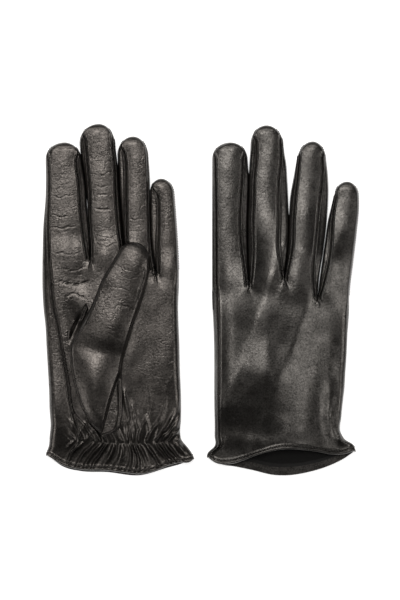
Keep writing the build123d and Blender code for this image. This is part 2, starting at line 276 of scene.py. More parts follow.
right_fingers = [
    Finger("index", (13.2, 111.3), 11.5,
           [(11.9, 0), (60, 0), (111.3, 0.2)],
           [(11.9, 26.1), (28.2, 25.5), (49.5, 25.2), (70.8, 25.8), (88.6, 26.1), (100.3, 25.2),
            (111.3, 24.6)],
           [(11.9, 3.2), (60, 3), (111.3, 2)],
           [(11.9, 2), (18.6, 2.4), (36, 4.3), (57, 5.5), (86.5, 4.6), (100, 3.4), (111.3, 2)]),
    Finger("middle", (38.6, 123.4), 13.5,
           [(11.9, 26.1), (30, 25.3), (57, 25.1), (74, 25.7), (90, 26.1), (100, 26.7), (107.7, 27.2),
            (123.4, 27.4)],
           [(16.4, 51.1), (26, 52.3), (35.3, 53.5), (57, 54.4), (70.8, 54), (85, 53.3), (95.7, 52.6),
            (106.3, 50.9), (123.4, 49.6)],
           [(11.9, 1.4), (18, 2.4), (31, 3.9), (57, 3.9), (83, 3.9), (100, 4.6), (123.4, 2.5)],
           [(16.4, 1.8), (22.8, 3.5), (36, 7), (57, 7.4), (83, 6.1), (105, 2.3), (123.4, 1.5)]),
    Finger("ring", (71.3, 112), 12.5,
           [(16.4, 51.1), (26.8, 52.3), (42.4, 53.7), (60.2, 54.4), (74.4, 55.5), (86.5, 57.7),
            (96, 59.4), (105.6, 61), (112, 61.4)],
           [(2, 74.4), (17.6, 75.8), (35.3, 78.6), (53, 81), (67.3, 82.1), (77.9, 82.4), (88.6, 82),
            (98.5, 80.9), (112, 80)],
           [(16.4, 1.4), (19.7, 1.7), (36, 3.1), (53, 3.2), (74, 3.5), (100, 1.6), (112, 1.2)],
           [(2, 2), (7.6, 3.3), (22.8, 5.4), (40, 6.3), (66, 6.3), (96, 3.1), (112, 2)]),
    Finger("little", (95.6, 83.6), 9.5,
           [(2, 74.4), (10.5, 75.2), (26.8, 77.4), (42.4, 79.8), (56.6, 82.1), (65.1, 84.2), (73, 86.4),
            (83.6, 87.4)],
           [(2, 97), (6.9, 97.3), (27.2, 99.7), (48.8, 102.3), (65.9, 103.8), (76.5, 103.6),
            (83.6, 103.2)],
           [(2, 1.4), (10, 3), (27, 4.6), (49, 3.7), (73, 1.2), (83.6, 1)],
           [(2, 0), (83.6, 0)]),
]

right_glove = Glove(
    name="right",
    palm_up=False,
    edge=8,
    swing=0.36,
    lean=0.3,
    dome=0.25,
    fingers=right_fingers,
    crotches=[11.9, 16.4, 2],
    left=[(-110.9, -3.8), (-108.1, -2.8), (-103.8, 1.6), (-96, 1.8), (-70, 1.5), (-32, 1.4), (-10, 0.7),
          (11.9, 0)],
    right=[(-106.7, 101.8), (-101.7, 99), (-99.6, 95.2), (-95.3, 91.8), (-81.8, 91.6), (-71.2, 92.7),
           (-62.7, 93.7), (-51.3, 94.4), (-39.2, 95.2), (-21.5, 95.9), (-5.9, 96.6), (6.9, 97.3)],
    side_seam=[(-116, 3.4), (-90, 3.2), (11.9, 3.2)],
    top_hem=[(-3.8, -110.9), (2.1, -115.2), (12.1, -116.1), (22, -113.5), (29.1, -110.5), (39.1, -107),
             (49, -105.5), (61.8, -106), (73.9, -107.4), (83.8, -109.3), (92, -109.4), (101.8, -106.7)],
    bottom_hem=[(-3.8, -110.9), (7.1, -116.8), (15.3, -118), (29.1, -120.8), (44, -124.2), (54, -124.4),
                (68.9, -122), (83.8, -117.3), (93.7, -112.4), (101.8, -106.7)],
    creases=[([(10, -78), (16, -82), (20, -90)], 0.4, 1)],
    folds=[
        ([(86, -52), (83.6, -68), (82.2, -82), (84, -93), (88, -101)], -1.7, 4.2),
        ([(90.6, -80), (88.6, -90), (90.4, -98), (94, -104)], 1.6, 1.9),
        ([(7, -100), (4.6, -60), (4.4, -10), (4, 12)], 0.5, 1.6),
    ],
    dents=[
        (30, -86, 15, 20, 8, -1.6), (38, -50, 17, 17, 0, 1.3), (62, -76, 14, 26, 0, 0.6),
        (84, -76, 6, 20, 0, -1.3), (30, 4, 22, 8, 0, -0.8), (62, -4, 22, 8, 0, -0.5),
        (10, -30, 6, 40, 0, 0.6), (44, -100, 34, 7, 0, 0.8), (16, -98, 12, 6, 0, 0.6),
    ],
    wrinkled=[
        (26, -88, 14, 10, 20, 1.6, 0.16), (76, 60, 8, 26, 25, 2.6, 0.18), (40, 92, 9, 16, 0, 2.4, 0.1),
        (92, 60, 7, 16, 10, 2.4, 0.12),
    ],
)

# The thumb's outline is given on the left glove; the right one mirrors it.
THUMB_LEFT = [(40, -95), (34, -88.6), (29.7, -79.3), (25.2, -67.5), (21.6, -53.9), (19.7, -40.3),
              (19.9, -31.4), (26.1, -21.3), (31.5, -11.3), (37.3, 1.2), (42.4, 14), (50.2, 27.4),
              (55.6, 36.6)]
THUMB_RIGHT = [(47.5, -96), (53.3, -92.5), (56.3, -84), (57, -72), (56.6, -60), (56.6, -46), (60.3, -31.4),
               (65, -15.8), (69.6, -2.3), (72.6, 7.6), (75.5, 18.6), (76.6, 29.6), (76.8, 33)]
THUMB_TIP = (68.4, 39.9)

# The thumb's relief and its quirk are given along and across the thumb, from its knuckle.
THUMB_FOLD = [(-52, 22.8), (-26, 20.4), (0, 19.8)]
THUMB_DENTS = [
    (-20, 6, 17, 14, 0, 0.9), (2.5, 0, 6.5, 26, -6, -1.3), (22, 2, 12, 14, 0, 0.7),
    (-36, 8, 14, 8, 0, 0.5), (45, -11, 5, 4, 30, -0.8), (67, 6, 8, 7, 0, 0.5),
]
THUMB_CREASES = [
    ([(47.5, -6), (49.5, 0.5), (49, 7)], 0.45, 0.6), ([(36.8, 4), (38.8, 10), (38, 16)], 0.45, 0.6),
    ([(43, -12), (41, -9), (40.5, -5)], 0.6, 0.8), ([(26, -10), (27.5, -4)], 0.3, 0.6),
]
THUMB_WRINKLED = [(64, 6, 14, 9, 90, 1.6, 0.35), (44, 2, 14, 12, 90, 1.8, 0.3), (8, 4, 14, 20, 90, 2, 0.3)]
THUMB_CUT = -9.0
QUIRK_MIDDLE = [(6, -18.6), (14, -18.2), (21, -17.8), (27.8, -18), (31, -18.8)]
QUIRK_WIDTH = [(17, 0.3), (21, 1.3), (25, 2.2), (28, 2.1), (31, 0.05)]


# ---------------- joints and heights

def knuckle(glove, part):
    """The frame's facts of a finger's or thumb's hinge."""
    return next(joint for joint in frame["joints"] if joint["name"] == f"{glove.name}_{part}_knuckle")


def thumb_axes(glove):
    """The thumb's knuckle, its two directions in plan and the hinge's height, from the frame."""
    joint = knuckle(glove, "thumb")
    place = np.array(joint["pos_m"][:2]) / MM
    across = np.array(joint["axis"][:2]) * (1 if glove.palm_up else -1)
    along = np.array([-across[1], across[0]])
    return place, along, across, joint["pos_m"][2] / MM


def to_thumb(glove, x, y):
    """Places along and across the thumb from its knuckle."""
    place, along, across, _ = thumb_axes(glove)
    x, y = x - place[0], y - place[1]
    return x * along[0] + y * along[1], x * across[0] + y * across[1]


def from_thumb(glove, a, b):
    """Places in plan from places along and across the thumb."""
    place, along, across, _ = thumb_axes(glove)
    return place[0] + a * along[0] + b * across[0], place[1] + a * along[1] + b * across[1]


def under_thumb(glove, x, y):
    """How much the hand is raised over a thumb folded beneath it, 0 to 1."""
    a, b = to_thumb(glove, x, y)
    outside = np.maximum(np.abs(b) - 13, 0)
    ahead = np.maximum(a - 74, 0) + np.maximum(-38 - a, 0)
    return np.exp(-((outside / 17) ** 2) - (ahead / 20) ** 2)


def floor_gap(glove, x, y):
    """Height of the glove's underside above the table."""
    if glove.palm_up:
        return REST_GAP + 0 * x
    return REST_GAP + THUMB_HUMP * under_thumb(glove, x, y) + 1.2 * smooth((-60 - y) / 50)


def half_heights(glove, x, y, finger_share):
    """Distances from the middle of the thickness down to the underside and up to the top.

    Both gloves thin out towards the cuff, where the right one gapes a little in the middle.
    """
    if glove.palm_up:
        below = 4.4 - 1.6 * smooth((-88 - y) / 26)
        above = 5.9 - 0.9 * finger_share - 2.0 * smooth((-80 - y) / 38)
        return below, above
    below = 4.2 - 1.4 * smooth((-80 - y) / 30)
    gape = smooth((-78 - y) / 34) * np.sin(np.pi * np.clip((x - glove.edge) / 98, 0, 1))
    above = 5.2 - 0.4 * finger_share + 3.8 * gape - 2.4 * smooth((-85 - y) / 25) * (1 - gape)
    return below, above


def top_height(glove, x, y, rise, finger_share=0):
    """Height of the upper leather before its relief, where rise is 0 at the outline and 1 on the crown."""
    below, above = half_heights(glove, x, y, finger_share)
    return floor_gap(glove, x, y) + below + above * rise


def underside(glove, x, y, rise):
    """Height of the lower leather, flatter than the upper one."""
    below, _ = half_heights(glove, x, y, 0)
    return floor_gap(glove, x, y) + below * (1 - np.clip(rise / 0.7, 0, 1))


# ---------------- relief of the leather

def line_places(x, y, points):
    """Distance from a line of points, and the share of the way along it, at each place."""
    best = np.full(x.shape, 1e9)
    share = np.zeros_like(x)
    count = len(points) - 1
    for k in range(count):
        a, d = points[k], np.subtract(points[k + 1], points[k])
        t = np.clip(((x - a[0]) * d[0] + (y - a[1]) * d[1]) / (d @ d), 0, 1)
        distance = np.hypot(x - a[0] - t * d[0], y - a[1] - t * d[1])
        nearer = distance < best
        best = np.where(nearer, distance, best)
        share = np.where(nearer, (k + t) / count, share)
    return best, share


def crease_lines(x, y, creases):
    """Depth of a set of soft creases with slightly raised banks."""
    z = np.zeros_like(x)
    shaken = y + 0.5 * patch_waves(2 * x, y)
    wander = 1 + 0.5 * mid_waves(3 * x, 3 * y)
    for points, depth, width in creases:
        distance, share = line_places(x, shaken, points)
        taper = np.sqrt(np.clip(4 * share * (1 - share), 0, 1))
        cut = bump(distance, 0.55 * width) - 0.1 * bump(distance - 1.8 * width, 1.1 * width)
        z -= 0.4 * depth * taper * wander * cut
    return z


def long_folds(x, y, folds):
    """Smooth ridges, or valleys where the height is negative, along lines of points."""
    z = np.zeros_like(x)
    for points, height, width in folds:
        distance, share = line_places(x, y, points)
        z += height * smooth(share / 0.4) * smooth((1 - share) / 0.4) * bump(distance, width)
    return z


def turned(x, y, cx, cy, turn):
    """Distances from a centre, along and across a direction given in degrees."""
    c, s = math.cos(math.radians(turn)), math.sin(math.radians(turn))
    return (x - cx) * c + (y - cy) * s, (y - cy) * c - (x - cx) * s


def swells(x, y, dents):
    """Soft hills and hollows."""
    z = np.zeros_like(x)
    for cx, cy, rx, ry, turn, height in dents:
        p, q = turned(x, y, cx, cy, turn)
        z += height * np.exp(-((p / rx) ** 2 + (q / ry) ** 2))
    return z


def waves(seed, short, long, count=14):
    """Smooth random field about 0, with wavelengths between two lengths."""
    source = random.Random(seed)
    terms = []
    for _ in range(count):
        number = 2 * math.pi / (short * (long / short) ** source.random())
        turn = source.uniform(0, math.pi)
        terms.append((number * math.cos(turn), number * math.sin(turn), source.uniform(0, 6.283)))

    def at(x, y):
        return math.sqrt(2 / count) * sum(np.cos(kx * x + ky * y + phase) for kx, ky, phase in terms)

    return at


slow_waves = waves(11, 22, 60)
mid_waves = waves(12, 9, 20)
line_waves = waves(13, 5, 11)
patch_waves = waves(14, 12, 30)


def wrinkles(x, y, patches):
    """Fine random creases inside oval patches, along the lines where a random field is 0."""
    z = np.zeros_like(x)
    for cx, cy, rx, ry, turn, stretch, depth in patches:
        p, q = turned(x, y, cx, cy, turn)
        inside = np.exp(-((p / rx) ** 2 + (q / ry) ** 2))
        level = line_waves((p + cx) / (1.7 * stretch), q + cy)
        breaks = smooth(patch_waves(p + cy, q + cx) + 0.6)
        z -= 0.4 * depth * inside * breaks * bump(level, 0.1)
    return z


def relief(glove, x, y):
    """Soft dents, folds and creases of the upper leather, calmer on the fingers."""
    u = x - glove.edge
    z = 1.5 * swells(u, y, glove.dents) + crease_lines(u, y, glove.creases)
    z += wrinkles(u, y, glove.wrinkled) + long_folds(u, y, glove.folds)
    swing = glove.swing * (1 - 0.65 * smooth(y / 35))
    return z + swing * slow_waves(x, 0.42 * y + 0.15 * x) + 0.04 * mid_waves(x, 0.6 * y)


def thumb_relief(a, b):
    """Folds of the upper thumb leather, over the thumb's own directions."""
    z = swells(a, b, THUMB_DENTS) + crease_lines(a, b, THUMB_CREASES) + wrinkles(a, b, THUMB_WRINKLED)
    return z + 0.12 * slow_waves(a + 40, b)


def seam_profile(distance, size=1.0):
    """Two fine ridges with a groove between them, at a distance from a seam."""
    d = np.abs(distance)
    return 0.8 * size * (bump(d - 0.95, 0.5) - bump(d, 0.3))


def hem_shape(distance):
    """Rolled, stitched edge of the cuff at a distance from it."""
    z = 0.5 * bump(distance - 1.2, 0.8) - 0.4 * bump(distance - 2.6, 0.4) + 0.4 * bump(distance - 3.5, 0.6)
    return z - 1.2 * (1 - roll(distance, 0.7))


def puckers(glove, x, y):
    """Gathers along the wrist elastic of the upper palm, which fan out above and below it."""
    if not glove.palm_up:
        return 0 * x
    middle, pitch = 60, 5.0
    u = x - glove.edge
    off = y - GATHER_LINE - 3.2 * ((u - 62) / 46) ** 2 - 0.35 * np.sin(0.9 * u)
    fan = 1 + 0.026 * np.maximum(off, 0) + 0.024 * np.maximum(-off, 0)
    p = middle + (u - middle) / fan
    p = p + 1.5 * np.sin(0.17 * off + 0.1 * p)
    wave = p / pitch + 0.2 * np.sin(0.29 * p + 0.4) + 0.05 * np.sin(0.83 * p + 1)
    fold = 1.8 * (0.5 + 0.5 * np.cos(2 * np.pi * wave)) ** 1.6 - 0.6
    strength = 0.95 + 0.22 * np.sin(0.61 * p + 0.7) + 0.1 * np.sin(1.3 * p)
    reach = 7 + 9 * np.sin(0.47 * p + 0.5) ** 4 + 5 * smooth((u - 70) / 20)
    fade = np.exp(-((np.maximum(off, 0) / reach) ** 1.3)) * (1 - 0.4 * smooth((-off - 3) / 16))
    pinch = 1 - 0.7 * bump(off, 1.7)
    inside = smooth((u - 16) / 6) * smooth((102.5 - u) / 5)
    return inside * (1.35 * fold * strength * fade * pinch - 0.4 * bump(off, 1.6))


# ---------------- fingers

def crotch_levels(glove, index):
    """Places along the hand of the crotches on the left and on the right of a finger."""
    return glove.crotches[max(index - 1, 0)], glove.crotches[min(index, LITTLE - 1)]


def finger_edges(glove, finger, y):
    """Edges of a finger, rounded to its tip, and how far inside them its two seams run."""
    tip_x, tip_y = finger.tip
    cap = cap_width(tip_y - y, finger.shoulder, 2.15)
    left = tip_x + (curve(finger.left)(y) - tip_x) * cap + glove.edge
    right = tip_x + (curve(finger.right)(y) - tip_x) * cap + glove.edge
    seam_cap = cap * (0.04 + 0.96 * smooth((tip_y - 3.5 - y) / 9))
    return left, right, curve(finger.left_seam)(y) * seam_cap, curve(finger.right_seam)(y) * seam_cap


def column_plan(index):
    """Columns across a finger's top, as (part, fraction): its left side, its strip, its right side."""
    side = np.linspace(0, 1, SIDE_COLUMNS + 1) ** 1.6
    left_side = spread(WRAP_COLUMNS, 0.6) if index == 0 else 1 - side[::-1]
    plan = [(0, f) for f in left_side[:-1]] + [(1, f) for f in spread(STRIP_COLUMNS, 0.5)]
    if index != LITTLE:
        plan += [(2, f) for f in side[1:]]
    return plan


def column_place(part, f, edges):
    """Place across of a column, where edges are the finger's edge, its two seams and its other edge."""
    return edges[part] + (edges[part + 1] - edges[part]) * f


def nominal_shares(finger, plan, low_left, low_right):
    """How far across the finger each column is at the crotch line, 0 to 1."""
    left, right = curve(finger.left)(low_left), curve(finger.right)(low_right)
    left_seam = left + curve(finger.left_seam)(low_left)
    right_seam = right - curve(finger.right_seam)(low_right)
    places = [column_place(part, f, (left, left_seam, right_seam, right)) for part, f in plan]
    return (np.array(places) - left) / (right - left)


def finger_rows(length):
    """Share of the way from the crotch to the tip, closer together at the tip."""
    straight = np.arange(0, length - FINGER_TURN, ROW_STEP) / length
    turn = np.linspace(0, math.pi / 2, TIP_ROWS + 1)
    return np.concatenate([straight[:-1], straight[-1] + (1 - straight[-1]) * np.sin(turn)])


def edge_profile(distance, inset, size, lean):
    """Side of a finger: a steep wall, a gentle fourchette up to its seam, then the strip."""
    wall = roll(distance, WALL_ROLL * size + 0.05)
    slope = roll(distance, (inset + 2.4) * size + 0.05, 1.6)
    return wall * (1 - lean + lean * slope)


def finger_profile(glove, index, x, y, edges):
    """0 at the finger's outline and 1 on its crown."""
    left, left_seam, right_seam, right = edges
    size = np.minimum(1, (right - left) / 8)
    if index == 0:
        left_side = roll(x - left, EDGE_ROLL * size)
    else:
        left_side = edge_profile(x - left, left_seam - left, size, glove.lean)
    right_side = edge_profile(right - x, right - right_seam, size, glove.lean)
    strip_half = np.maximum((right_seam - left_seam) / 2, 0.05)
    crown = np.clip(1 - ((x - (left_seam + right_seam) / 2) / strip_half) ** 2, 0, 1)
    tip = roll(glove.fingers[index].tip[1] - y, FINGER_TIP_ROLL, 2.3)
    return left_side * right_side * (1 - glove.dome + glove.dome * crown) * tip


def finger_top(glove, index):
    """Upper grid of one finger, from the crotch line to its tip, its columns and its rise."""
    finger = glove.fingers[index]
    tip_y = finger.tip[1]
    plan = column_plan(index)
    low_left, low_right = crotch_levels(glove, index)
    base = low_left + (low_right - low_left) * nominal_shares(finger, plan, low_left, low_right)
    y = base + (tip_y - base) * finger_rows(tip_y - base.mean())[:, None]
    left, right, left_inset, right_inset = finger_edges(glove, finger, y)
    edges = (left, left + left_inset, right - right_inset, right)
    x = np.stack([column_place(part, f, [e[:, j] for e in edges]) for j, (part, f) in enumerate(plan)], -1)
    rise = finger_profile(glove, index, x, y, edges)
    seams = seam_profile(x - edges[1], 0.7 if index == 0 else 1.0)
    if index != LITTLE:
        seams = seams + seam_profile(x - edges[2])
    z = top_height(glove, x, y, rise, smooth((y - base) / 18))
    z += seams * smooth((tip_y - 5 - y) / 5) + relief(glove, x, y) * rise
    return np.stack([x, y, z], -1), plan, rise


def finger_bottom(glove, grid, rise):
    """Lower grid of one finger, on the same places as its upper one."""
    below = grid.copy()
    below[..., 2] = underside(glove, grid[..., 0], grid[..., 1], rise)
    return below


# ---------------- hand

def hand_shares(glove, row0, hem):
    """Share of the way across its side of the side seam of each column, and where it meets the hem."""
    seam = row0[WRAP_COLUMNS, 0]
    outer = (row0[:WRAP_COLUMNS, 0] - row0[0, 0]) / (seam - row0[0, 0])
    inner = (row0[WRAP_COLUMNS:, 0] - seam) / (row0[-1, 0] - seam)
    low_left, low_right = hem[0][0], hem[-1][0]
    low_seam = low_left + glove.side_seam[0][1]
    outer_x = low_left + (low_seam - low_left) * outer
    inner_x = low_seam + (low_right - low_seam) * inner
    return np.concatenate([outer, inner]), curve(hem)(np.concatenate([outer_x, inner_x]))


def hand_rows(length):
    """Share of the way from the crotch line to the hem, closer together in the hem."""
    steps = list(np.arange(0, length - HEM_BAND - 1, ROW_STEP))
    steps += list(np.linspace(steps[-1], length, int((length - steps[-1]) / HEM_STEP))[1:])
    return np.array(steps) / length


def hand_relief(glove, x, y, rise, seam, hem_y):
    """Crotch rings, side seam, folds, gathers and hem of the hand's upper leather."""
    z = seam_profile(x - seam, 0.8) * smooth((y - hem_y) / 6)
    for finger, level in zip(glove.fingers, glove.crotches):
        crotch_x = float(curve(finger.right)(level)) + glove.edge
        reach = np.hypot(x - crotch_x, y - level - 0.4)
        z += seam_profile(reach - CROTCH_RING, CROTCH_RING_SIZE) * smooth(level + 0.6 - y)
    return z + relief(glove, x, y) * rise + puckers(glove, x, y) + hem_shape(y - hem_y)


def hand_grid(glove, tops, hem, rows=None):
    """Grid of one side of the hand, from the crotch line to the hem; the lower side gets the upper rows."""
    row0 = np.concatenate([grid[0, min(k, 1):] for k, (grid, _, _) in enumerate(tops)])
    rise0 = np.concatenate([rise[0, min(k, 1):] for k, (_, _, rise) in enumerate(tops)])
    base_y = row0[:, 1]
    share, hem_y = hand_shares(glove, row0, hem)
    upper = rows is None
    if upper:
        rows = hand_rows(base_y.mean() - hem_y.mean())
    y = base_y + (hem_y - base_y) * rows[:, None]
    left = curve(glove.left)(y) + glove.edge
    right = curve(glove.right)(y) + glove.edge
    seam = left + curve(glove.side_seam)(y)
    outer = np.arange(y.shape[1]) < WRAP_COLUMNS
    x = np.where(outer, left + (seam - left) * share, seam + (right - seam) * share)
    settle = smooth((base_y - y) / 30)
    x = row0[:, 0] * (1 - settle) + x * settle
    hand_rise = roll(x - left, EDGE_ROLL) * roll(right - x, EDGE_ROLL)
    hand_rise[:, [0, -1]] = 0
    fill = smooth((base_y - y) / (4.6 + 14 * rise0 ** 3))
    rise = rise0 * (1 - fill) + hand_rise * fill
    if not upper:
        return np.stack([x, y, underside(glove, x, y, rise)], -1), rows
    z = top_height(glove, x, y, rise) + hand_relief(glove, x, y, rise, seam, hem_y)
    fade = smooth(1 - np.arange(JOIN_ROWS) / JOIN_ROWS)[:, None]
    z[:JOIN_ROWS] += (row0[:, 2] - z[0]) * fade
    grid = np.stack([x, y, z], -1)
    grid[0] = row0
    return grid, rows


# ---------------- skins

@dataclass
class Skin:
    """A ring-shaped grid of leather, its normals, each piece's columns, and if its rows run to the cuff."""

    ring: np.ndarray
    normals: np.ndarray
    pieces: dict
    flip: bool = False


def ring_normals(ring, sign=1):
    over = np.roll(ring, -1, axis=1) - np.roll(ring, 1, axis=1)
    down = np.gradient(ring, axis=0)
    return unit(np.cross(over, down) * sign)


def close_ring(top, bottom, picks):
    """Upper columns from left to right, then the picked lower ones back again."""
    inner = [j for j in picks if 0 < j < top.shape[1] - 1][::-1]
    return np.concatenate([top, bottom[:, inner]], axis=1), inner


def bottom_picks(plan):
    """The columns kept on the underside: every third one, the seams and the edges."""
    parts = [part for part, _ in plan]
    seams = [parts.index(1), len(parts) - 1 - parts[::-1].index(1)]
    return sorted({*range(0, len(plan), 3), *seams, len(plan) - 1})


def finger_pieces(glove, index, plan, inner):
    """Ring columns of the strip, the two sides and the underside strip of one finger."""
    strip = [j for j, (part, _) in enumerate(plan) if part == 1]
    a, b = strip[0], strip[-1]
    lower_at = {j: len(plan) + k for k, j in enumerate(inner)}
    under_a, under_b = lower_at[a], lower_at.get(b, b)
    right = list(range(b, under_b + 1))
    under = list(range(under_b, under_a + 1))
    left = list(range(under_a, len(plan) + len(inner))) + list(range(a + 1))
    above, beneath = ("palm", "back") if glove.palm_up else ("back", "palm")
    if index == 0 and glove.palm_up:
        return {above: strip, "fourchette": right, beneath: under + left[1:]}
    if index == 0:
        return {above: left + strip[1:], "fourchette": right, beneath: under}
    if index == LITTLE:
        return {above: strip, "fourchette": left, beneath: under}
    return {above: strip, "outer_fourchette": right, beneath: under, "inner_fourchette": left}


def hand_pieces(glove, top_count, count, under_seam):
    """Ring columns of the two panels of the hand, which meet at the side seam and at the far edge."""
    if glove.palm_up:
        around = list(range(top_count - 1, count)) + list(range(WRAP_COLUMNS + 1))
        return {"palm_panel": list(range(WRAP_COLUMNS, top_count)), "back_panel": around}
    around = list(range(under_seam, count)) + list(range(top_count))
    return {"back_panel": around, "palm_panel": list(range(top_count - 1, under_seam + 1))}


def build_skins(glove):
    """Skins of the hand and the fingers of one glove, with the same points and normals where they meet."""
    tops = [finger_top(glove, index) for index in range(LITTLE + 1)]
    picks = [bottom_picks(plan) for _, plan, _ in tops]
    hand, rows = hand_grid(glove, tops, glove.top_hem)
    under, _ = hand_grid(glove, tops, glove.bottom_hem, rows)
    starts = np.cumsum([0] + [len(plan) - 1 for _, plan, _ in tops[:-1]]).tolist()
    hand_picks = sorted({start + j for start, own in zip(starts, picks) for j in own})
    ring, inner = close_ring(hand, under, hand_picks)
    lower_at = {j: hand.shape[1] + k for k, j in enumerate(inner)}
    beyond = np.zeros_like(ring[:1])
    weight = np.zeros(ring.shape[1])
    skins, places = [], []
    for index, (grid, plan, rise) in enumerate(tops):
        own, own_inner = close_ring(grid, finger_bottom(glove, grid, rise), picks[index])
        start, last = starts[index], len(plan) - 1
        at = np.array([start + j for j in range(len(plan))] + [lower_at[start + j] for j in own_inner])
        twins = [(j, lower_at[start + j]) for j in (0, last) if start + j in lower_at]
        normals = skin_normals(own, ring, at, twins)
        skins.append(Skin(own, normals, finger_pieces(glove, index, plan, own_inner)))
        places.append(np.delete(np.stack([at, np.arange(len(at))]), [0, last], axis=1))
        beyond[0, at] += own[1]
        weight[at] += 1
        for j, low in twins:
            beyond[0, low] += own[1, j]
            weight[low] += 1
    normals = ring_normals(np.concatenate([beyond / weight[:, None], ring]), -1)[1:]
    for skin, (at, own_at) in zip(skins, places):
        normals[0, at] = skin.normals[0, own_at]
    pieces = hand_pieces(glove, hand.shape[1], ring.shape[1], lower_at[WRAP_COLUMNS])
    return Skin(ring, normals, pieces, True), skins, hand.shape[1]


def skin_normals(own, hand_ring, at, twins):
    """Normals of a finger's ring, carried on over the hand's next two rows."""
    before = hand_ring[1:3, at][::-1].copy()
    for j, low in twins:
        before[:, j] = (before[:, j] + hand_ring[1:3, low][::-1]) / 2
    normals = ring_normals(np.concatenate([before, own]))[2:]
    normals[-2:] = normals[-3]
    return normals


# ---------------- thumb

def thumb_plan():
    """Grid of the thumb along and across, its two edges, and where its heel and tip end."""
    outline = [np.array(points, float).T for points in (THUMB_LEFT, THUMB_RIGHT, [THUMB_TIP])]
    left, right, tip = [np.stack(to_thumb(left_glove, x + left_glove.edge, y), -1) for x, y in outline]
    tip_a, tip_b = tip[0]
    low = min(left[0, 0], right[0, 0]) - 0.6
    straight = np.arange(low, tip_a - THUMB_TURN, ROW_STEP)
    turn = np.linspace(0, math.pi / 2, TIP_ROWS + 1)[1:]
    a = np.concatenate([straight, straight[-1] + (tip_a - straight[-1]) * np.sin(turn)])[:, None]
    cap, heel = cap_width(tip_a - a, 10.5, 2.2), cap_width(a - low, 9, 2.2)
    heel_b = (left[0, 1] + right[0, 1]) / 2
    edges = []
    for side in (left, right):
        edge = heel_b + (curve(side.tolist())(a) - heel_b) * heel
        edges.append(tip_b + (edge - tip_b) * cap)
    b = edges[0] + (edges[1] - edges[0]) * spread(THUMB_COLUMNS, 0.5)
    return a + 0 * b, b, *edges, low, tip_a


def thumb_profile(a, b, left, right, low, tip, free):
    """0 at the thumb's outline and 1 on its crown."""
    half = np.maximum((right - left) / 2, 0.05)
    sides = roll(b - left, np.minimum(4.2 - 1.2 * free, half)) * roll(right - b, np.minimum(2.6, half))
    crown = np.clip(1 - ((b - (left + right) / 2) / half) ** 2, 0, 1)
    return sides * (0.62 + 0.38 * crown) * roll(tip - a, THUMB_TIP_ROLL) * roll(a - low, 2 * THUMB_TIP_ROLL)


def upper_thumb(a, b, left, right, low, rise, free):
    """Heights of the thumb that lies on the palm, with the flap folded beside its base."""
    side, height = 0.1 + 3.2 * free, 9.2
    top = PALM_TOP + side + (height - side) * rise + thumb_relief(a, b) * np.clip(1.4 * rise, 0, 1)
    rest = PALM_TOP + side * (1 - np.clip(rise / 0.6, 0, 1))
    past_fold = b - curve(THUMB_FOLD)(a)
    facet = smooth((past_fold + 0.7) / 1.5) * smooth((-3 - a) / 9)
    flap = 1 + 0.9 * bump(b - right + 2.4, 0.8) + 0.1 * past_fold
    top = top * (1 - facet) + (PALM_TOP + np.minimum(flap, 0.3 + 3 * (right - b))) * facet
    top += seam_profile(b - left - 1.5) * (1 - free) * smooth((a - low) / 4)
    top += seam_profile(right - b - 2.4, 0.7) * smooth((a - 40) / 8) * smooth((70 - a) / 8)
    return top, rest


def lower_thumb(rise):
    """Heights of the thumb that lies flat beneath the hand."""
    side, height = 3.0, 8.2
    rest = 0.1 + side * (1 - np.clip(rise / 0.6, 0, 1))
    return 0.1 + side + (height - side) * np.clip(rise / 0.8, 0, 1), rest


def thumb_skin(glove):
    """Skin of the thumb from its sewn heel to its tip, with the place along it of each row."""
    a, b, left, right, low, tip = thumb_plan()
    free = smooth((a - THUMB_CUT) / 34)
    rise = thumb_profile(a, b, left, right, low, tip, free)
    top, rest = upper_thumb(a, b, left, right, low, rise, free) if glove.palm_up else lower_thumb(rise)
    x, y = from_thumb(glove, a, b)
    picks = sorted({*range(0, a.shape[1], 4), a.shape[1] - 1})
    ring, _ = close_ring(np.stack([x, y, top], -1), np.stack([x, y, rest], -1), picks)
    normals = ring_normals(ring)
    normals[-2:] = normals[-3]
    normals[:2] = normals[2]
    upper = list(range(a.shape[1]))
    lower = list(range(a.shape[1] - 1, ring.shape[1])) + [0]
    facing, behind = ("front", "back") if glove.palm_up else ("back", "front")
    return Skin(ring, normals, {facing: upper, behind: lower}), a[:, 0]


# ---------------- meshes

def add_object(name, vertices, faces, normals=None, material=None):
    mesh = bpy.data.meshes.new(name)
    mesh.from_pydata((np.asarray(vertices) * MM).tolist(), [], faces)
    mesh.validate()
    mesh.polygons.foreach_set("use_smooth", [True] * len(mesh.polygons))
    if normals is not None and len(mesh.vertices) == len(normals):
        mesh.normals_split_custom_set_from_vertices([tuple(n) for n in normals])
    obj = bpy.data.objects.new(name, mesh)
    bpy.context.scene.collection.objects.link(obj)
    if material:
        mesh.materials.append(material)
    return obj


def shell_piece(name, grid, normals, material, thickness, flip):
    """Closed piece: a grid, the same grid moved inwards by its thickness, and the rims that join them."""
    rows, cols = grid.shape[:2]
    count = rows * cols
    index = np.arange(count).reshape(rows, cols)
    quads = np.stack([index[:-1, :-1], index[:-1, 1:], index[1:, 1:], index[1:, :-1]], -1).reshape(-1, 4)
    ring = np.concatenate([index[0, :], index[1:, -1], index[-1, -2::-1], index[-2:0:-1, 0]])
    ahead = np.roll(ring, -1)
    rim = np.stack([ring, ring + count, ahead + count, ahead], -1)
    if flip:
        quads, rim = quads[:, ::-1], rim[:, ::-1]
    faces = np.concatenate([quads, quads[:, ::-1] + count, rim]).tolist()
    outer, out = grid.reshape(-1, 3), normals.reshape(-1, 3)
    vertices = np.concatenate([outer, outer - out * thickness])
    return add_object(name, vertices, faces, np.concatenate([out, -out]), material)


# ---------------- materials

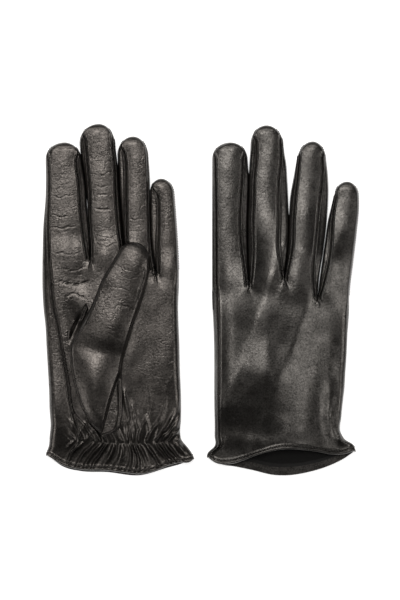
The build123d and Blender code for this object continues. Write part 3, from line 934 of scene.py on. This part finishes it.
def shader(name):
    material = bpy.data.materials.new(name)
    material.use_nodes = True
    tree = material.node_tree
    return material, tree, tree.nodes["Principled BSDF"]


def node(tree, kind, inputs, **settings):
    """New shader node, with its settings, and with a value or a link on each named input."""
    made = tree.nodes.new("ShaderNode" + kind)
    for key, value in settings.items():
        setattr(made, key, value)
    for socket, value in inputs.items():
        if isinstance(value, bpy.types.NodeSocket):
            tree.links.new(value, made.inputs[socket])
        else:
            made.inputs[socket].default_value = value
    return made


def map_range(tree, value, low, high, to_low=0.0, to_high=1.0):
    made = node(tree, "MapRange", {"Value": value, "From Min": low, "From Max": high,
                                   "To Min": to_low, "To Max": to_high})
    return made.outputs["Result"]


def leather_material(name, tint, flexed):
    """Soft, fine-grained leather: mottled colour, uneven gloss, a pebbled grain and hair-fine creases."""
    material, tree, principled = shader(name)
    where = node(tree, "TexCoord", {}).outputs["Object"]
    mottle = node(tree, "TexNoise", {"Vector": where, "Scale": 60.0, "Detail": 4.0, "Roughness": 0.6})
    ramp = node(tree, "ValToRGB", {"Fac": mottle.outputs["Fac"]})
    dark, light = ramp.color_ramp.elements
    dark.position, dark.color = 0.3, (0.0025, 0.0023, 0.0021, 1)
    light.position, light.color = 0.75, (0.007, 0.0064, 0.0058, 1)
    tree.links.new(ramp.outputs["Color"], principled.inputs["Base Color"])
    gloss = node(tree, "TexNoise", {"Vector": where, "Scale": 140.0, "Detail": 3.0})
    roughness = map_range(tree, gloss.outputs["Fac"], 0.3, 0.7, 0.26, 0.38)
    tree.links.new(roughness, principled.inputs["Roughness"])
    principled.inputs["Specular Tint"].default_value = (*tint, 1)
    normal = pebble_grain(tree, principled, where, hair_creases(tree, where, flexed))
    tree.links.new(normal, principled.inputs["Normal"])
    return material


def hair_creases(tree, where, flexed):
    """Broken net of hair-fine creases, as soft leather shows where it has flexed."""
    shake = node(tree, "TexNoise", {"Vector": where, "Scale": 260.0, "Detail": 2.0})
    shift = node(tree, "VectorMath", {0: shake.outputs["Color"], 1: (0.004, 0.004, 0.004)},
                 operation="MULTIPLY")
    moved = node(tree, "VectorMath", {0: where, 1: shift.outputs["Vector"]}, operation="ADD")
    across = node(tree, "VectorMath", {0: moved.outputs["Vector"], 1: (0.45, 1.3, 1.0)}, operation="MULTIPLY")
    net = node(tree, "TexVoronoi", {"Vector": across.outputs["Vector"], "Scale": 230.0},
               feature="DISTANCE_TO_EDGE")
    line = map_range(tree, net.outputs["Distance"], 0.0, 0.09)
    patches = node(tree, "TexNoise", {"Vector": where, "Scale": 38.0, "Detail": 2.0})
    share = map_range(tree, patches.outputs["Fac"], 0.48, 0.66, 0.1 * flexed, flexed)
    made = node(tree, "Bump", {"Height": line, "Strength": share, "Distance": 0.0003})
    return made.outputs["Normal"]


def pebble_grain(tree, principled, where, normal):
    """Pebbles about a millimetre across, which catch the light on top and lose it between them."""
    grain = node(tree, "TexVoronoi", {"Vector": where, "Scale": 1100.0}, feature="SMOOTH_F1")
    loose = node(tree, "TexNoise", {"Vector": where, "Scale": 620.0, "Detail": 1.5, "Roughness": 0.6})
    both = node(tree, "Math", {0: grain.outputs["Distance"], 1: loose.outputs["Fac"]}, operation="ADD")
    shine = map_range(tree, both.outputs["Value"], 0.65, 1.3, 0.78, 0.3)
    tree.links.new(shine, principled.inputs["Specular IOR Level"])
    made = node(tree, "Bump", {"Height": loose.outputs["Fac"], "Strength": 0.3, "Distance": 0.00025,
                               "Normal": normal})
    return made.outputs["Normal"]


def cloth_material(name, colour, scale):
    """Dull, fine-ribbed cloth or thread."""
    material, tree, principled = shader(name)
    where = node(tree, "TexCoord", {}).outputs["Object"]
    knit = node(tree, "TexWave", {"Vector": where, "Scale": scale, "Distortion": 2.0, "Detail": 2.0})
    ribs = node(tree, "Bump", {"Height": knit.outputs["Fac"], "Strength": 0.5, "Distance": 0.0003})
    tree.links.new(ribs.outputs["Normal"], principled.inputs["Normal"])
    principled.inputs["Base Color"].default_value = (*colour, 1)
    principled.inputs["Roughness"].default_value = 0.9
    principled.inputs["Specular IOR Level"].default_value = 0.2
    return material


palm_leather = leather_material("palm_up_leather", (1.0, 0.93, 0.88), 0.35)
back_leather = leather_material("back_up_leather", (1.0, 0.965, 0.925), 0.08)
lining = cloth_material("black_knit", (0.004, 0.004, 0.004), 900.0)
elastic = cloth_material("black_elastic", (0.012, 0.012, 0.012), 1500.0)
thread = cloth_material("black_thread", (0.06, 0.057, 0.054), 2500.0)


# ---------------- pieces in the scene

def finger_bend(glove, index):
    """A finger's name and where its root bends, in metres, with the hinge in the middle."""
    name = glove.fingers[index].name
    x, y, z = knuckle(glove, name)["pos_m"]
    start = max(crotch_levels(glove, index)) * MM
    return name, (x, start, z), (x, 2 * y - start, z)


def thumb_bend(glove):
    """The thumb's name and where it bends at its knuckle, in metres."""
    place, along, _, z = thumb_axes(glove)
    start, end = (place + along * THUMB_CUT) * MM, (place - along * THUMB_CUT) * MM
    return "thumb", (*start.tolist(), z * MM), (*end.tolist(), z * MM)


def attach(obj, glove, replaced="", bend=()):
    """Ride on the hand, or, where a bend is given, keep the piece's place baked into its mesh; and stand for
    a CAD node.
    """
    if bend:
        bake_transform(obj)
    else:
        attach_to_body(obj, f"{glove.name}_hand")
    if replaced:
        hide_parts(f"{glove.name}_{replaced}")


def leather_piece(glove, replaced, skin, columns, rows, material, bend=(), thickness=LEATHER):
    """Piece of leather cut from some rows and columns of a skin, in place of one CAD node."""
    grid, normals = skin.ring[rows][:, columns], skin.normals[rows][:, columns]
    obj = shell_piece(f"{glove.name}_{replaced}_leather", grid, normals, material, thickness, skin.flip)
    attach(obj, glove, replaced, bend)


def inner_tube(glove, name, skin, rows, step, depth, thickness, material):
    """Closed sleeve inside a skin, at a depth beneath its surface."""
    columns = [*range(0, skin.ring.shape[1], step), 0]
    grid, normals = (skin.ring - skin.normals * depth)[rows][:, columns], skin.normals[rows][:, columns]
    return shell_piece(f"{glove.name}_{name}", grid, normals, material, thickness, skin.flip)


def add_lining(glove, name, skin, rows, depth, bend=()):
    obj = inner_tube(glove, f"{name}_knit_lining", skin, rows, 3, depth, LINING, lining)
    attach(obj, glove, f"{name}_lining", bend)


def build_glove(glove, leather):
    hand, fingers, top_count = build_skins(glove)
    build_hand(glove, hand, top_count, leather)
    for index, skin in enumerate(fingers):
        build_finger(glove, index, skin, leather)
    build_thumb(glove, leather)
    build_quirk(glove, leather)
    add_stitches(glove, hand, fingers)


def build_hand(glove, hand, top_count, leather):
    """The two panels with their hems, the hand's lining and the wrist elastic."""
    count = len(hand.ring)
    hem_start = count - int(HEM_BAND / HEM_STEP)
    for panel, columns in hand.pieces.items():
        leather_piece(glove, panel, hand, columns, range(hem_start), leather)
        hem, hem_rows = panel.replace("panel", "hem"), range(hem_start - 1, count)
        leather_piece(glove, hem, hand, columns, hem_rows, leather, thickness=HEM_LEATHER)
    add_lining(glove, "hand", hand, range(0, hem_start - 4, LINING_ROWS), HAND_LINING_DEPTH)
    level = hand.ring[:, top_count // 2, 1]
    ribbon = np.flatnonzero((ELASTIC_LEVELS[0] < level) & (level < ELASTIC_LEVELS[1]))
    obj = inner_tube(glove, "wrist_elastic_ribbon", hand, ribbon, 1, ELASTIC_DEPTH, ELASTIC, elastic)
    attach(obj, glove, "wrist_elastic")


def build_finger(glove, index, skin, leather):
    """The strips and fourchettes of one finger, and its lining."""
    name = glove.fingers[index].name
    bend = finger_bend(glove, index)
    count = len(skin.ring)
    for piece, columns in skin.pieces.items():
        leather_piece(glove, f"{name}_{piece}", skin, columns, range(count), leather, bend)
    lined = range(0, count - LINING_TIP_ROWS, LINING_ROWS)
    add_lining(glove, name, skin, lined, FINGER_LINING_DEPTH, bend)


def build_thumb(glove, leather):
    """The thumb's sewn base, its two free faces and its lining."""
    skin, along = thumb_skin(glove)
    bend = thumb_bend(glove)
    cut, count = int(np.searchsorted(along, THUMB_CUT)), len(along)
    leather_piece(glove, "thumb_base", skin, [*range(skin.ring.shape[1]), 0], range(cut + 1), leather)
    for piece, columns in skin.pieces.items():
        leather_piece(glove, f"thumb_{piece}", skin, columns, range(cut, count), leather, bend)
    lined = range(cut, count - LINING_TIP_ROWS, LINING_ROWS)
    add_lining(glove, "thumb", skin, lined, FINGER_LINING_DEPTH, bend)


def build_quirk(glove, leather):
    """Small folded gusset in the crotch between the thumb and the palm."""
    a = np.linspace(QUIRK_WIDTH[0][0], QUIRK_WIDTH[-1][0], 40)[:, None]
    f = np.linspace(-1, 1, 15)
    half = curve(QUIRK_WIDTH)(a)
    x, y = from_thumb(glove, a, curve(QUIRK_MIDDLE)(a) + half * f)
    rise = np.sqrt(np.maximum(1 - f ** 2, 0)) * np.minimum(half / 2.2, 1)
    fold = 0.9 * bump(half * f, 0.5) * smooth((a - 14) / 8)
    if glove.palm_up:
        upper, lower = 10.5 + 3.4 * rise - fold, 10.3 - 0.2 * rise
    else:
        upper, lower = 8.6 + 0.2 * rise, 8.4 - 3.4 * rise + fold
    ring, _ = close_ring(np.stack([x, y, upper], -1), np.stack([x, y, lower], -1), list(range(len(f))))
    skin = Skin(ring, ring_normals(ring), {})
    columns = [*range(ring.shape[1]), 0]
    leather_piece(glove, "thumb_quirk", skin, columns, range(len(a)), leather, thickness=QUIRK_LEATHER)


# ---------------- stitching

def along_path(values, way, places):
    return np.stack([np.interp(places, way, values[:, k]) for k in range(3)], -1)


def stitch_row(glove, name, path, normals, size=SEAM_STITCH, bend=()):
    """Row of short thread stitches, thicker in their middle, lying along a path on the leather."""
    pitch, length, width = size
    lift, sides = 0.15, 6
    way = np.concatenate([[0], np.cumsum(np.linalg.norm(np.diff(path, axis=0), axis=1))])
    places = np.arange(pitch, way[-1] - pitch / 2, pitch)
    centre = along_path(path, way, places)
    forward = unit(along_path(path, way, places + 0.3) - centre)
    up = unit(along_path(normals, way, places))
    side = unit(np.cross(forward, up))
    rings = [(-0.5, 0.35), (-0.36, 0.85), (0.0, 1.0), (0.36, 0.85), (0.5, 0.35)]
    turns = [2 * math.pi * k / sides for k in range(sides)]
    points = []
    for t, share in rings:
        radius = 0.5 * width * share
        for turn in turns:
            points.append(centre + forward * t * length + up * (lift + radius * math.sin(turn))
                          + side * (radius * math.cos(turn)))
    count, last = len(points), len(points) - sides
    faces = []
    for first in range(0, count * len(centre), count):
        for low in range(first, first + last, sides):
            for k in range(sides):
                near, ahead = low + k, low + (k + 1) % sides
                faces.append((near, ahead, ahead + sides, near + sides))
        faces.append(tuple(range(first + sides - 1, first - 1, -1)))
        faces.append(tuple(range(first + last, first + count)))
    obj = add_object(f"{glove.name}_{name}", np.stack(points, 1).reshape(-1, 3), faces, None, thread)
    attach(obj, glove, "", bend)


def add_stitches(glove, hand, fingers):
    """Thread rows along the finger seams, the side seam and the two sides of the hem."""
    for index, skin in enumerate(fingers):
        bend = finger_bend(glove, index)
        rows = slice(0, len(skin.ring) - TIP_ROWS // 2)
        seams = sorted({columns[k] for columns in skin.pieces.values() for k in (0, -1)})
        for k, column in enumerate(seams):
            name = f"{glove.fingers[index].name}_stitches_{k}"
            stitch_row(glove, name, skin.ring[rows, column], skin.normals[rows, column], SEAM_STITCH, bend)
    stitch_row(glove, "side_seam_stitches", hand.ring[:, WRAP_COLUMNS], hand.normals[:, WRAP_COLUMNS])
    row = len(hand.ring) - 1 - int(HEM_LINE / HEM_STEP)
    columns = [*range(hand.ring.shape[1]), 0]
    path, normals = hand.ring[row, columns], hand.normals[row, columns]
    stitch_row(glove, "hem_stitches", path, normals, HEM_STITCH)
    stitch_row(glove, "hem_inner_stitches", path - normals * (HEM_LEATHER + 0.05), -normals, HEM_STITCH)


# ---------------- studio

def add_floor():
    material, _, principled = shader("studio_floor")
    principled.inputs["Base Color"].default_value = (0.6, 0.6, 0.6, 1)
    principled.inputs["Roughness"].default_value = 0.9
    principled.inputs["Emission Color"].default_value = (1, 1, 1, 1)
    principled.inputs["Emission Strength"].default_value = 0.7
    size, level = 3000.0, -0.05
    corners = [(-size, -size, level), (size, -size, level), (size, size, level), (-size, size, level)]
    add_object("studio_floor", corners, [(0, 1, 2, 3)], None, material)


def add_light(name, place, width, height, power):
    """Softbox that faces the middle of the table."""
    data = bpy.data.lights.new(name, "AREA")
    data.shape = "RECTANGLE"
    data.size = width
    data.size_y = height
    data.energy = power
    data.color = (1.0, 0.965, 0.925)
    light = bpy.data.objects.new(name, data)
    bpy.context.scene.collection.objects.link(light)
    light.location = place
    light.rotation_euler = (-Vector(place)).to_track_quat("-Z", "Y").to_euler()


def add_camera():
    """Camera straight above the gloves."""
    data = bpy.data.cameras.new("camera")
    distance, view_height = 1.5, 0.426
    data.lens = data.sensor_width * distance / view_height
    camera = bpy.data.objects.new("camera", data)
    camera.location = (-0.0005, -0.0002, distance)
    bpy.context.scene.collection.objects.link(camera)
    bpy.context.scene.camera = camera


def add_studio():
    world = bpy.data.worlds.new("studio")
    world.use_nodes = True
    world.node_tree.nodes["Background"].inputs["Color"].default_value = (1, 1, 1, 1)
    world.node_tree.nodes["Background"].inputs["Strength"].default_value = 0.05
    bpy.context.scene.world = world
    add_light("overhead_softbox", (-0.2, 0.55, 1.9), 0.9, 0.6, 19)
    add_light("top_softbox", (-0.3, 1.1, 1.2), 1.8, 0.7, 14)
    add_light("side_softbox", (1.1, -0.25, 1.1), 0.4, 1.1, 7)
    add_light("low_softbox", (-1.1, -0.5, 0.9), 0.4, 0.8, 5)
    bpy.context.scene.view_settings.view_transform = "Standard"
    add_floor()
    add_camera()


build_glove(left_glove, palm_leather)
build_glove(right_glove, back_leather)
add_studio()
